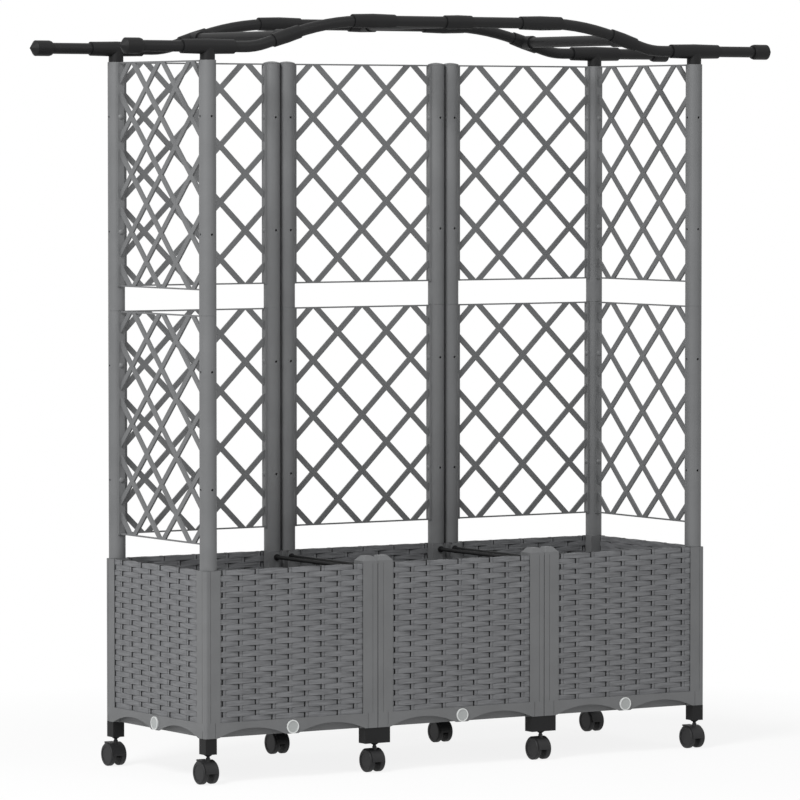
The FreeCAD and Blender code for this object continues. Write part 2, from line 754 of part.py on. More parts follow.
def feet():
    """Square feet under the corners, long ones under the seams, and the steel stems in them."""
    square = foot(D.footSize)
    long = foot(D.middleFootLength)
    node("feet", *(copy_of(square if name in BRAKED else long, x, y, FOOT_BOTTOM) for name, x, y in CASTERS))
    stem_end = D.collarTop - D.stemInHood
    stem = rod(D.stemDiameter, D.stemInHood + D.neckLength + D.stemInFoot)
    node("caster_stems", *(copy_of(stem, x, y, stem_end) for _, x, y in CASTERS))


def wheel_pair():
    """Two wheels on one axle along X, turned about it."""
    body = new_body("wheel_pair")
    tread, axle, face = D.wheelDiameter / 2, D.axleDiameter / 2, D.faceDiameter / 2
    inside = D.wheelGap / 2
    outside = inside + D.wheelWidth
    sunk = outside - D.faceDepth
    profile = [
        (-sunk, 0), (-sunk, face), (-outside, face), (-outside, tread), (-inside, tread),
        (-inside, axle), (inside, axle), (inside, tread), (outside, tread), (outside, face),
        (sunk, face), (sunk, 0),
    ]
    revolve(body, draw(sketch_on(body, "XY_Plane"), profile), "H_Axis")
    round_edges(body, D.shoulderRound, circle_of(D.wheelDiameter))
    return body


def polar(radius, angle):
    """A point at a radius and an angle above the horizontal, behind the axle for small angles."""
    return (radius * cosine(size(angle)), radius * sine(size(angle)))


def fender(body, inner, outer):
    """The curved hood: a strip bent round the wheels from low in front to high behind."""
    back, front = D.hoodBackRise, 180 + D.hoodFrontDip
    points = [polar(inner, back), polar(outer, back), polar(outer, size(90)), polar(outer, front),
              polar(inner, front), polar(inner, size(90))]
    bends = {1: (outer, 1), 2: (outer, 1), 4: (inner, -1), 5: (inner, -1)}
    return pad(body, draw(sketch_on(body, "YZ_Plane"), points, bends), D.hoodWidth, both_ways=True)


def web(body, inner):
    """The plate between the wheels, from the hub up to the hood, with the boss round the axle."""
    front, back = -D.webFront, D.webBack
    over_front = root(inner * inner - front * front)
    over_back = root(inner * inner - back * back)
    hub = D.hubDiameter / 2
    outline = [(front, 0), (back, 0), (back, over_back), (front, over_front)]
    plate = draw(sketch_on(body, "YZ_Plane"), outline, {2: (inner, 1)})
    pad(body, plate, D.webThickness, both_ways=True)
    boss = ring(sketch_on(body, "YZ_Plane"), 0, 0, 2 * hub)
    pad(body, boss, D.webThickness, both_ways=True)


def caster_hood(name, braked):
    """A hood in the frame of its axle: axle at the origin along X, floor below, stem in front."""
    body = new_body(name)
    inner = AXLE_HEIGHT + D.hoodPlay
    outer = inner + D.hoodThickness
    fender(body, inner, outer)
    web(body, inner)
    if braked:
        notch_length = outer - D.webBack
        notch = rectangle(sketch_on(body, "XY_Plane", outer), 0, D.webBack + notch_length / 2,
                          D.leverWidth + 2 * D.leverPlay, notch_length)
        pocket(body, notch, outer - D.axleDiameter)
        tail = rectangle(sketch_on(body, "YZ_Plane"), D.pinBack / 2, D.pinRise, D.pinBack, D.eyeDiameter)
        pad(body, tail, D.tailThickness, both_ways=True)
        tail_end = ring(sketch_on(body, "YZ_Plane"), D.pinBack, D.pinRise, D.eyeDiameter)
        pad(body, tail_end, D.tailThickness, both_ways=True)
        pin = ring(sketch_on(body, "YZ_Plane"), D.pinBack, D.pinRise, D.pinDiameter)
        pad(body, pin, D.tailThickness + 2 * D.armThickness + D.leverPlay, both_ways=True)
    collar = ring(sketch_on(body, "XY_Plane", D.collarTop - AXLE_HEIGHT), 0, -D.trail, D.collarDiameter)
    column_of_collar = pad(body, collar, D.collarTop - AXLE_HEIGHT - D.pinRise)
    column_of_collar.Reversed = True
    bore = ring(sketch_on(body, "XY_Plane", D.collarTop - AXLE_HEIGHT), 0, -D.trail,
                D.stemDiameter + 2 * D.stemPlay)
    pocket(body, bore, D.stemInHood + D.stemEndGap)
    axle_bore = ring(sketch_on(body, "YZ_Plane"), 0, 0, D.axleDiameter + 2 * D.axlePlay)
    pocket(body, axle_bore, 2 * D.webThickness, both_ways=True)
    return body


def brake_lever():
    """A lever in the frame of the axle: a plate over the treads on two arms between the wheels."""
    body = new_body("brake_lever")
    treads = AXLE_HEIGHT + D.hoodPlay
    low = D.leverTop - D.leverThickness
    meeting = root(treads * treads - low * low)
    over_front = root(treads * treads - D.leverFront * D.leverFront)
    plate = [(D.leverFront, over_front), (meeting, low), (D.leverReach, low),
             (D.leverReach, D.leverTop - D.leverPlay), (D.leverReach - D.leverPlay, D.leverTop),
             (D.leverFront, D.leverTop)]
    section = draw(sketch_on(body, "YZ_Plane"), plate, {0: (treads, -1)})
    pad(body, section, D.leverWidth, both_ways=True)
    eye = D.eyeDiameter / 2
    arms_width = D.tailThickness + 2 * D.armThickness + D.leverPlay
    arm = rectangle(sketch_on(body, "YZ_Plane"), D.pinBack, (D.pinRise + low + D.leverPlay) / 2,
                    D.eyeDiameter, low + D.leverPlay - D.pinRise)
    pad(body, arm, arms_width, both_ways=True)
    pad(body, ring(sketch_on(body, "YZ_Plane"), D.pinBack, D.pinRise, 2 * eye), arms_width, both_ways=True)
    gap = D.tailThickness + D.leverPlay
    fork = rectangle(sketch_on(body, "YZ_Plane"), D.pinBack, D.pinRise - eye / 2,
                     2 * D.eyeDiameter, 3 * eye + 2 * D.leverPlay)
    pocket(body, fork, gap, both_ways=True)
    hole = ring(sketch_on(body, "YZ_Plane"), D.pinBack, D.pinRise, D.pinDiameter + 2 * D.pinPlay)
    pocket(body, hole, 2 * arms_width, both_ways=True)
    return body


def casters():
    """Each caster's hood swivels on its stem, and its two wheels roll in the hood."""
    wheels = wheel_pair()
    plain = caster_hood("plain_hood", braked=False)
    braked = caster_hood("braked_hood", braked=True)
    lever = brake_lever()
    for name, x, y in CASTERS:
        hood = braked if name in BRAKED else plain
        axle_y = y + D.trail
        node(f"caster_hood_{name}", copy_of(hood, x, axle_y, AXLE_HEIGHT))
        node(f"caster_wheels_{name}", copy_of(wheels, x, axle_y, AXLE_HEIGHT))
        if name in BRAKED:
            node(f"brake_lever_{name}", copy_of(lever, x, axle_y, AXLE_HEIGHT))


# ---------------------------------------------------------------- posts


def bevel_of(radius, bevel, z, side):
    """The two profile points of a small bevel at an outer edge; side 1 is a top edge."""
    points = [(radius, z - side * bevel), (radius - bevel, z)]
    return points if side > 0 else points[::-1]


def post(name, peg, peg_bore, peg_length, floor_thickness):
    """A tube with a peg below it and screw holes on four sides, two heights."""
    radius = D.postDiameter / 2
    inside = radius - D.postWall
    profile = [
        (peg_bore, -peg_length), (peg, -peg_length), (peg, 0),
        *bevel_of(radius, D.jointBevel, size(0), -1), *bevel_of(radius, D.jointBevel, D.postSegment, 1),
        (inside, D.postSegment), (inside, floor_thickness), (peg_bore, floor_thickness),
    ]
    body = turned(name, profile)
    for plane in ("XZ_Plane", "YZ_Plane"):
        holes = sketch_on(body, plane)
        for drop in (D.firstHole, D.secondHole):
            ring(holes, 0, D.postSegment - drop, D.postHole)
        pocket(body, holes, 2 * D.postDiameter, both_ways=True)
    return body


def posts():
    inside = D.postDiameter / 2 - D.postWall
    lower = post("lower_post", D.spigotDiameter / 2, size(0), D.spigotLength, D.postWall)
    neck = inside - D.jointPlay
    upper = post("upper_post", neck, neck - D.postWall, D.jointDepth, D.postWall)
    places = list(CORNER_POSTS) + [(x, POST_REACH) for x in SEAM_POSTS_X]
    node("posts_lower", *(copy_of(lower, x, y, BOX_TOP) for x, y in places))
    node("posts_upper", *(copy_of(upper, x, y, BOX_TOP + D.postSegment) for x, y in places))


# ---------------------------------------------------------------- trellis


def slats(width, lean):
    """The slats that lean one way, each a long bar through the panel's middle line."""
    angle = arctangent(D.crossHeight / D.crossWidth)
    length = 2 * width
    first = -math.ceil((D.trellisHeight.value + width.value) / D.crossHeight.value)
    last = math.ceil((D.firstHole.value + width.value) / D.crossHeight.value)
    bars = []
    for number in range(first, last):
        height = D.crossHeight * number - D.firstHole
        bar = bind(doc.addObject("Part::Box", "slat"), Length=length, Width=D.slatThickness,
                   Height=D.slatWidth)
        tilt = lean * angle
        x = -(length / 2) * cosine(angle) + lean * (D.slatWidth / 2) * sine(angle)
        z = height - lean * (length / 2) * sine(angle) - (D.slatWidth / 2) * cosine(angle)
        bars.append(place(bar, x, -D.slatThickness / 2, z, (0, -1, 0), tilt))
    return bars


def side_rail(half, side):
    """A side rail that hugs its post, with its screw holes; side 1 is the right one."""
    inner_face = half - D.railFace
    bar = block(D.railDepth, D.railWidth, D.trellisHeight, side * (inner_face + D.railDepth / 2), 0,
                -D.trellisHeight)
    post_space = rod(D.postDiameter + 2 * D.postPlay, D.trellisHeight + 2 * OVERRUN, side * half, 0,
                     -D.trellisHeight - OVERRUN)
    holes = [rod(D.railHole, 2 * D.railDepth, side * inner_face - D.railDepth, 0, -drop, along="x")
             for drop in (D.firstHole, D.secondHole)]
    return cut(bar, post_space, *holes)


def trellis_panel():
    """A panel between two posts, in its own plane: middle at X = 0, top edge at Z = 0."""
    half = POST_REACH
    width = 2 * (half - D.railFace)
    field = block(width, D.slatThickness, D.trellisHeight, z=-D.trellisHeight)
    lattice = common(field, fuse(*slats(width, 1), *slats(width, -1)))
    top = block(width, D.slatThickness, D.edgeStrip, z=-D.edgeStrip)
    bottom = block(width, D.slatThickness, D.edgeStrip, z=-D.trellisHeight)
    return fuse(lattice, top, bottom, side_rail(half, -1), side_rail(half, 1))


def trellis_screw():
    """A domed screw whose head stands on X = 0 and whose shank runs along +X."""
    return fuse(dome(D.screwHead, D.screwRise, sideways=True), rod(D.screwShank, D.screwLength, along="x"))


BAYS = (
    ("trellis_left", -CORNER_X, size(0), 90),
    ("trellis_right", CORNER_X, size(0), 90),
    ("trellis_back_left", -PITCH, POST_REACH, 0),
    ("trellis_back_middle", size(0), POST_REACH, 0),
    ("trellis_back_right", PITCH, POST_REACH, 0),
)
TIERS = (BOX_TOP + D.postSegment, POST_TOP)


def trellis():
    """Five bays of two panels each, and the screws that hold them."""
    panel = trellis_panel()
    screw = trellis_screw()
    inner_face = POST_REACH - D.railFace
    screws = []
    for label, x, y, turn in BAYS:
        node(label, *(copy_of(panel, x, y, top, turn=turn) for top in TIERS))
        for top in TIERS:
            for drop in (D.firstHole, D.secondHole):
                for side in (-1, 1):
                    facing = turn + (0 if side > 0 else 180)
                    shift = side * inner_face
                    spot = (x, y + shift) if turn else (x + shift, y)
                    screws.append(copy_of(screw, *spot, top - drop, turn=facing))
    node("trellis_screws", *screws)


# ---------------------------------------------------------------- top rails

BEND_START = SEAM_X + D.bendRun
BEND_REACH = CORNER_X - D.postTeeLength / 2 - D.heelGap - BEND_START
BOTH_BENDS = D.crestBend + D.heelBend
# The slope at which the two bends and the straight between them just fill that reach.
SLOPE = (arcsine(BEND_REACH / root(BOTH_BENDS * BOTH_BENDS + D.slopeLength * D.slopeLength))
         - arctangent(D.slopeLength / BOTH_BENDS))
RAIL_FALL = BOTH_BENDS * (1 - cosine(SLOPE)) + D.slopeLength * sine(SLOPE)
SLOPE_TOP = (BEND_START + D.crestBend * sine(SLOPE), RAIL_FALL - D.crestBend * (1 - cosine(SLOPE)))
SLOPE_FOOT = (SLOPE_TOP[0] + D.slopeLength * cosine(SLOPE),
              SLOPE_TOP[1] - D.slopeLength * sine(SLOPE))
RAIL_END = CORNER_X + D.railOverhang


def rail_path():
    """The middle line of a rail's right-hand tube, from the joint to its end; low stretch on Z = 0."""
    path = doc.addObject("Sketcher::SketchObject", "rail_path")
    path.Placement = Placement(Vector(0, 0, 0), Rotation(Vector(1, 0, 0), 90))
    points = [
        (SEAM_X, RAIL_FALL),
        (BEND_START, RAIL_FALL),
        SLOPE_TOP,
        SLOPE_FOOT,
        (SLOPE_FOOT[0] + D.heelBend * sine(SLOPE), 0),
        (RAIL_END, 0),
    ]
    return draw(path, points, {1: (D.crestBend, -1), 3: (D.heelBend, 1)}, closed=False)


def along_path(path, diameter):
    """A round bar swept along the rail's path."""
    section = bind(doc.addObject("Part::Circle", "section"), Radius=diameter / 2)
    place(section, SEAM_X, 0, RAIL_FALL, (0, 1, 0), 90)
    swept = doc.addObject("Part::Sweep", "swept")
    swept.Sections = [section]
    swept.Spine = (path, [f"Edge{n}" for n in range(1, 6)])
    swept.Solid = True
    swept.Frenet = False
    return swept


def crowned(length, end, crown, x=0, z=0, angle=0):
    """A fitting's round barrel about X through x, z: thickest in its middle, tilted by an angle."""
    half = length / 2
    lean = size(angle)
    back_x, back_z = x - half * cosine(lean), z + half * sine(lean)
    first = taper(end, crown, half, back_x, 0, back_z, (0, 1, 0), 90 + lean)
    second = taper(crown, end, half, x, 0, z, (0, 1, 0), 90 + lean)
    return first, second


def centre_tube():
    """The straight tube between the two sleeves of a rail."""
    length = 2 * SEAM_X
    inside = D.tubeDiameter - 2 * D.tubeWall
    return cut(rod(D.tubeDiameter, length, -SEAM_X, 0, RAIL_FALL, along="x"),
               rod(inside, length + 2 * OVERRUN, -SEAM_X - OVERRUN, 0, RAIL_FALL, along="x"))


def sleeve(tube):
    """The fitting that joins a centre tube to a bent one."""
    barrel = crowned(D.sleeveLength, D.sleeveEnd, D.sleeveCrown, SEAM_X, RAIL_FALL)
    straight = rod(D.tubeDiameter, D.sleeveLength, SEAM_X - D.sleeveLength, 0, RAIL_FALL, along="x")
    return cut(fuse(*barrel), straight, tube)


def post_tee():
    """The fitting on top of a corner post, with its stem down into the post."""
    stem = D.postDiameter - 2 * D.postWall - 2 * D.jointPlay
    barrel = crowned(D.postTeeLength, D.postTeeEnd, D.postTeeCrown)
    solid = fuse(*barrel, rod(stem, D.railRise + D.jointDepth, z=-(D.railRise + D.jointDepth)))
    bore = rod(D.tubeDiameter + 2 * D.fitPlay, 2 * D.postTeeLength, -D.postTeeLength, along="x")
    return cut(solid, bore)


def cross_tee(x, z, angle):
    """A fitting on a rail with a socket along +Y for a crossbar."""
    lean = size(angle)
    barrel = crowned(D.crossTeeLength, D.crossTeeEnd, D.crossTeeCrown, x, z, angle)
    solid = fuse(*barrel, rod(D.socketDiameter, D.socketReach, x, 0, z, along="y"))
    run = D.crossTeeLength
    bore = bind(doc.addObject("Part::Cylinder", "rod"), Radius=D.tubeDiameter / 2 + D.fitPlay, Height=2 * run)
    place(bore, x - run * cosine(lean), 0, z + run * sine(lean), (0, 1, 0), 90 + lean)
    socket = rod(D.tubeDiameter + 2 * D.fitPlay, D.socketReach, x, D.socketReach - D.socketGrip, z, along="y")
    return cut(solid, bore, socket)


def end_cap():
    """The cap on the end of a rail, about X, with a bevelled mouth and a pointed end."""
    body = new_body("end_cap")
    outer, inner = D.endCapDiameter / 2, D.tubeDiameter / 2 + D.fitPlay
    mouth, tip = RAIL_END - D.endCapGrip, RAIL_END + D.endCapNose
    profile = [
        (mouth, inner), (mouth, inner + D.endCapLip), (mouth + D.endCapBevel, outer),
        (tip - D.endCapCone, outer), (tip, 0), (RAIL_END, 0), (RAIL_END, inner),
    ]
    revolve(body, draw(sketch_on(body, "XY_Plane"), profile), "H_Axis")
    round_edges(body, D.endCapRound, circle_of(D.endCapDiameter))
    return body


def crossbar():
    """A tube along Y between the sockets of two facing tees."""
    reach = POST_REACH - D.socketReach + D.socketGrip
    inside = D.tubeDiameter - 2 * D.tubeWall
    return cut(rod(D.tubeDiameter, 2 * reach, y=-reach, along="y"),
               rod(inside, 2 * (reach + OVERRUN), y=-reach - OVERRUN, along="y"))


def both_rails(piece, both_ends=True):
    """Copies of a right-hand rail piece on the front and back rails, and on their left halves."""
    copies = []
    for y in (-POST_REACH, POST_REACH):
        for turn in ((0, 180) if both_ends else (0,)):
            copies.append(copy_of(piece, 0, y, RAIL_LINE, turn=turn))
    return copies


def top_rails():
    path = rail_path()
    outer_tube = along_path(path, D.tubeDiameter)
    bent_tube = cut(outer_tube, along_path(path, D.tubeDiameter - 2 * D.tubeWall))
    node("rail_bent_tubes", *both_rails(bent_tube))
    node("rail_centre_tubes", *both_rails(centre_tube(), both_ends=False))
    node("rail_sleeves", *both_rails(sleeve(outer_tube)))
    node("rail_end_caps", *both_rails(end_cap()))
    tee = post_tee()
    node("post_tees", *(copy_of(tee, x, y, RAIL_LINE) for x, y in CORNER_POSTS))
    tee_x = SLOPE_TOP[0] + D.teeSetback * cosine(SLOPE)
    tee_z = SLOPE_TOP[1] - D.teeSetback * sine(SLOPE)
    falling = cross_tee(tee_x, tee_z, SLOPE)
    rising = cross_tee(-tee_x, tee_z, -SLOPE)
    level = cross_tee(size(0), RAIL_FALL, size(0))
    tees = [copy_of(piece, 0, side * POST_REACH, RAIL_LINE, turn=90 + side * 90)
            for piece in (falling, rising, level) for side in (-1, 1)]
    node("cross_tees", *tees)
    bar = crossbar()
    heights = ((-tee_x, tee_z), (size(0), RAIL_FALL), (tee_x, tee_z))
    node("crossbars", *(copy_of(bar, x, 0, RAIL_LINE + z) for x, z in heights))


# ---------------------------------------------------------------- build, check and write


def check_document():
    """Stop if any object failed or any sub-part has no sound shape."""
    failed = [o.Label for o in doc.Objects if {"Invalid", "Error"} & set(o.State)]
    if failed:
        raise RuntimeError(f"objects that failed: {failed}")
    for part in NODES:
        if part.Shape.isNull() or not part.Shape.isValid():
            raise RuntimeError(f"unsound shape: {part.Label}")
        for solid in part.Shape.Solids:
            if solid.Volume <= 0:
                raise RuntimeError(f"empty solid in {part.Label}")


def write_parts():
    os.makedirs("parts", exist_ok=True)
    for part in NODES:
        part.Shape.exportStep(f"parts/{part.Label}.step")


def main():
    base_trays()
    drain_plugs()
    columns()
    wall_panels()
    top_caps()
    tie_rods()
    feet()
    casters()
    posts()
    trellis()
    top_rails()
    doc.recompute()
    check_document()
    write_parts()
    print(f"{len(NODES)} nodes, {sum(len(part.Shape.Solids) for part in NODES)} solids")


main()
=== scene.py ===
import math

import bpy
from bpy.props import (FloatProperty, FloatVectorProperty, IntProperty, PointerProperty,
                       StringProperty)
from mathutils import Euler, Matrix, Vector


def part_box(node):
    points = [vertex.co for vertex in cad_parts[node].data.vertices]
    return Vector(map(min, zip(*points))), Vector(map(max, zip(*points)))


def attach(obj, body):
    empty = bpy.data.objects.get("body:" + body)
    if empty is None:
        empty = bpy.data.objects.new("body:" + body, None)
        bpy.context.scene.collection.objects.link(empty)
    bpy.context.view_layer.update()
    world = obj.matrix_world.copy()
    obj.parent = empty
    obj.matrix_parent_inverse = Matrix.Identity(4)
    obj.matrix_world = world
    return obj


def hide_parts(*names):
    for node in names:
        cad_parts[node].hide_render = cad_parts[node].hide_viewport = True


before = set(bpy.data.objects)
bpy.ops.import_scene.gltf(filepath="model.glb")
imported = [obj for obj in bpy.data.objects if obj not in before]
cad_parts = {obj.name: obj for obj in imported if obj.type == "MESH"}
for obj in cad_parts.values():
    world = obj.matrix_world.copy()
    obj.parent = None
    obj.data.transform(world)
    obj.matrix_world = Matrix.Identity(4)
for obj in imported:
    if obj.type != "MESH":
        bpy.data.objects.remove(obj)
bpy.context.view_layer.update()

bl_info = {
    "name": "Trellis Planter",
    "version": (1, 0, 0),
    "blender": (4, 5, 0),
    "location": "View3D > Sidebar > Planter",
    "description": "Dresses a rolling planter box with trellis and arched top rail",
    "category": "Object",
}

ROOT = "planter"
MM = 0.001
UP = Vector((0, 0, 1))
SHARP = math.radians(20)
MODULES = ("left", "middle", "right")
FINISHES = {}  # by name, filled by the first step


# ------------------------------------------------------------------ finishes


def linear(hex_colour):
    """An sRGB hex colour as linear RGBA."""
    channels = [int(hex_colour[i:i + 2], 16) / 255 for i in (1, 3, 5)]
    return [c / 12.92 if c <= 0.04045 else ((c + 0.055) / 1.055) ** 2.4 for c in channels] + [1.0]


def add_node(tree, kind, settings=None, inputs=None, links=None):
    """One node: settings are its properties, inputs its sockets' values, links what feeds them."""
    node = tree.nodes.new(kind)
    for name, value in (settings or {}).items():
        setattr(node, name, value)
    for name, value in (inputs or {}).items():
        node.inputs[name].default_value = value
    for name, socket in (links or {}).items():
        tree.links.new(socket, node.inputs[name])
    return node


def new_material(name):
    """A node material without nodes, and its node tree."""
    material = bpy.data.materials.new(name)
    material.use_nodes = True
    material.node_tree.nodes.clear()
    return material, material.node_tree


def plastic(name, colour, deep, grain_mm, bump_mm, roughness, spread, mottle_mm=60.0,
            stretch=(1, 1, 1), ior=1.49, specular=0.5):
    """A plastic skin: two close shades mottled over it, a grain in its surface and uneven gloss.

    Roughness varies by spread to both sides. Stretch draws mottle and grain out along an axis. A
    grain too fine to draw breaks up part of the shine, so specular may be under the usual 0.5.
    """
    material, tree = new_material(name)
    coordinates = add_node(tree, "ShaderNodeTexCoord").outputs["Object"]
    place = add_node(tree, "ShaderNodeMapping", inputs={"Scale": stretch},
                     links={"Vector": coordinates}).outputs["Vector"]
    mottle = add_node(tree, "ShaderNodeTexNoise",
                      inputs={"Scale": 1 / (mottle_mm * MM), "Detail": 3.0},
                      links={"Vector": place})
    shade = add_node(tree, "ShaderNodeValToRGB", links={"Fac": mottle.outputs["Fac"]})
    ends = zip(shade.color_ramp.elements, (0.35, 0.65), (deep, colour))
    for element, position, hex_colour in ends:
        element.position = position
        element.color = linear(hex_colour)
    grain = add_node(tree, "ShaderNodeTexNoise",
                     inputs={"Scale": 1 / (grain_mm * MM), "Detail": 2.0},
                     links={"Vector": place})
    gloss = add_node(tree, "ShaderNodeMapRange",
                     inputs={"To Min": roughness - spread, "To Max": roughness + spread},
                     links={"Value": grain.outputs["Fac"]})
    bump = add_node(tree, "ShaderNodeBump", inputs={"Distance": bump_mm * MM, "Strength": 0.8},
                    links={"Height": grain.outputs["Fac"]})
    shader = add_node(tree, "ShaderNodeBsdfPrincipled",
                      inputs={"IOR": ior, "Specular IOR Level": specular},
                      links={"Base Color": shade.outputs["Color"],
                             "Roughness": gloss.outputs["Result"],
                             "Normal": bump.outputs["Normal"]})
    add_node(tree, "ShaderNodeOutputMaterial", links={"Surface": shader.outputs["BSDF"]})
    return material


def turned_steel(colours):
    """Dark metal with turned rings along the stem.

    A lathe leaves them about 0.3 mm apart. They are drawn 2.5 mm apart so that they show. The wave
    texture repeats every 0.314 of the length that its scale stands for.
    """
    material, tree = new_material("black_oxide_steel_turned")
    place = add_node(tree, "ShaderNodeTexCoord").outputs["Object"]
    ring_length, smooth, rough = 8 * MM, 0.22, 0.34
    rings = add_node(tree, "ShaderNodeTexWave", {"bands_direction": "Z"},
                     {"Scale": 1 / ring_length, "Distortion": 0.5}, {"Vector": place})
    gloss = add_node(tree, "ShaderNodeMapRange", inputs={"To Min": smooth, "To Max": rough},
                     links={"Value": rings.outputs["Fac"]})
    shader = add_node(tree, "ShaderNodeBsdfPrincipled",
                      inputs={"Base Color": linear(colours.oxide), "Metallic": 1.0},
                      links={"Roughness": gloss.outputs["Result"]})
    add_node(tree, "ShaderNodeOutputMaterial", links={"Surface": shader.outputs["BSDF"]})
    return material


def make_materials(colours):
    """Every finish on the planter, by name."""
    finishes = {}
    # Polypropylene from a spark-eroded mould: a flat, even grey whose fine pebble spreads the
    # highlight. The real pebble is about 0.1 mm across and is drawn at 1.2 mm so that it shows.
    finishes["moulded_pp"] = plastic(
        "moulded_polypropylene_grey", colours.grey, colours.grey_deep,
        grain_mm=1.2, bump_mm=0.05, roughness=0.55, spread=0.05)
    # The woven walls are the same polypropylene from a mould cut like drawn strands: fine lines
    # some 30 mm long run along each strand. They are really about 1 mm apart and are drawn
    # 3 mm apart so that they show.
    finishes["woven_pp"] = plastic(
        "woven_look_polypropylene_grey", colours.weave, colours.weave_deep,
        grain_mm=1.0, bump_mm=1.0, roughness=0.6, spread=0.06, mottle_mm=1.0,
        stretch=(1 / 30, 1 / 30, 1 / 3))
    # The web behind the strands, the stake sides and the seam bottoms are the same plastic, dull
    # and dark: their dark colour is painted shade for the deep places where they lie.
    finishes["recess_shade_pp"] = plastic(
        "recessed_polypropylene_painted_shade", colours.recess_shade, colours.recess_shade,
        grain_mm=1.2, bump_mm=0.05, roughness=0.7, spread=0.03)
    # The fittings are black polypropylene from a finely blasted mould: an even black with a dull
    # satin sheen.
    finishes["black_pp"] = plastic(
        "moulded_polypropylene_black", colours.black, colours.black_deep,
        grain_mm=0.9, bump_mm=0.04, roughness=0.58, spread=0.05, specular=0.27)
    # Powder coat on steel tube flows into a faint orange peel about 1.5 mm across, a touch
    # shinier than the plastic fittings beside it.
    finishes["powder_coat"] = plastic(
        "powder_coated_steel_black", colours.black, colours.black_deep,
        grain_mm=1.5, bump_mm=0.05, roughness=0.52, spread=0.04, ior=1.5, specular=0.27)
    # Caster nylon comes out of a lightly blasted mould with a soft, dull gloss.
    finishes["nylon"] = plastic(
        "moulded_nylon_black", colours.nylon, colours.nylon_deep,
        grain_mm=1.0, bump_mm=0.02, roughness=0.55, spread=0.06, ior=1.53, specular=0.25)
    # The plugs are polypropylene without pigment: milky, near white and smoother than the rest.
    finishes["natural_pp"] = plastic(
        "natural_polypropylene_plug", colours.plug, colours.plug_deep,
        grain_mm=1.0, bump_mm=0.02, roughness=0.35, spread=0.05)
    # The thin middle of a plug, sunk inside its rim, is drawn greyer as painted shade.
    finishes["plug_web_shade_pp"] = plastic(
        "natural_polypropylene_web_painted_shade", colours.plug_web, colours.plug_web,
        grain_mm=1.0, bump_mm=0.02, roughness=0.4, spread=0.05)
    # Black oxide on the turned stems leaves them dark, with a slightly uneven gloss.
    finishes["oxide_steel"] = turned_steel(colours)
    return finishes


def dress(node_name, finish):
    """Give a CAD node its finish."""
    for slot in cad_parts[node_name].material_slots:
        slot.material = FINISHES[finish]


# ------------------------------------------------------------------ sizes and colours


def colour_property(name, description, default):
    """A finish's colour as a property that holds its sRGB hex value."""
    return StringProperty(name=name, description=description, default=default)


class PlanterColours(bpy.types.PropertyGroup):
    """Colours of the planter's finishes, as sRGB hex."""

    grey: colour_property("Grey", "Moulded walls, posts and trellis", "#696a6b")
    grey_deep: colour_property("Grey, deeper", "The darker shade of its mottle", "#646566")
    weave: colour_property("Weave", "Woven-look walls", "#727375")
    weave_deep: colour_property("Weave, deeper", "The darker lines along its strands", "#5d5e60")
    # Recess is painted shade on the web, the stake sides and the seam strips.
    recess_shade: colour_property("Recess", "Web behind the woven strands", "#2e2e2f")
    black: colour_property("Black", "Fittings and tubes", "#101011")
    black_deep: colour_property("Black, deeper", "The darker shade of the fittings", "#0d0d0e")
    nylon: colour_property("Nylon", "Casters", "#272728")
    nylon_deep: colour_property("Nylon, deeper", "The darker shade of the casters", "#212122")
    plug: colour_property("Plug", "Drain plugs", "#d6d8d7")
    plug_deep: colour_property("Plug, deeper", "The darker shade of the plugs", "#c8cac9")
    # Plug web is painted shade for the sunk middle of the plugs.
    plug_web: colour_property("Plug web", "Thin middle of the plugs", "#a4a7a6")
    oxide: colour_property("Black oxide", "Caster stems", "#2a2a2c")


class PlanterWeave(bpy.types.PropertyGroup):
    """Sizes of the woven-look walls."""

    length: FloatProperty(name="Length", description="Woven length between two columns",
                          default=330.0 * MM, unit="LENGTH")
    rows: IntProperty(name="Rows", description="Strands from the tray to the top edge",
                      default=28, min=2)
    slot_pitch: FloatProperty(name="Slot pitch", description="Stake to stake, sideways",
                              default=37.9 * MM, unit="LENGTH")
    slot_gap: FloatProperty(name="Slot gap", description="Open gap on one side of a stake",
                            default=2.4 * MM, unit="LENGTH")
    front_start: FloatProperty(name="Front start",
                               description="Column to the first stake of a long wall",
                               default=10.7 * MM, unit="LENGTH")
    end_start: FloatProperty(name="End start",
                             description="Column to the first stake of an end wall",
                             default=24.1 * MM, unit="LENGTH")
    stake_width: FloatProperty(name="Stake width", description="Upright stake seen in a slot",
                               default=7.0 * MM, unit="LENGTH")
    stake_drop: FloatProperty(name="Stake drop",
                              description="Crest of a strand to the front of a stake",
                              default=1.0 * MM, unit="LENGTH")
    stake_lean: FloatProperty(name="Stake lean",
                              description="How much deeper a stake's front lies away from the gap",
                              default=0.5 * MM, unit="LENGTH")
    relief: FloatProperty(name="Relief", description="Crest of a strand to its end beside a gap",
                          default=2.9 * MM, unit="LENGTH")
    stake_relief: FloatProperty(name="Stake relief",
                                description="Crest of a strand to its end at a stake",
                                default=1.1 * MM, unit="LENGTH")
    pinch: FloatProperty(name="Pinch",
                         description="How far the top edge of a strand draws in where it dips",
                         default=1.5 * MM, unit="LENGTH")
    crest_round: FloatProperty(name="Crest rounding", description="Bend of a strand over a stake",
                               default=5.0 * MM, unit="LENGTH")
    edge_round: FloatProperty(name="Edge rounding",
                              description="Rounding along the edges of a strand",
                              default=0.15 * MM, unit="LENGTH")
    depth: FloatProperty(name="Depth", description="Crest to the back of a strand",
                         default=4.7 * MM, unit="LENGTH")


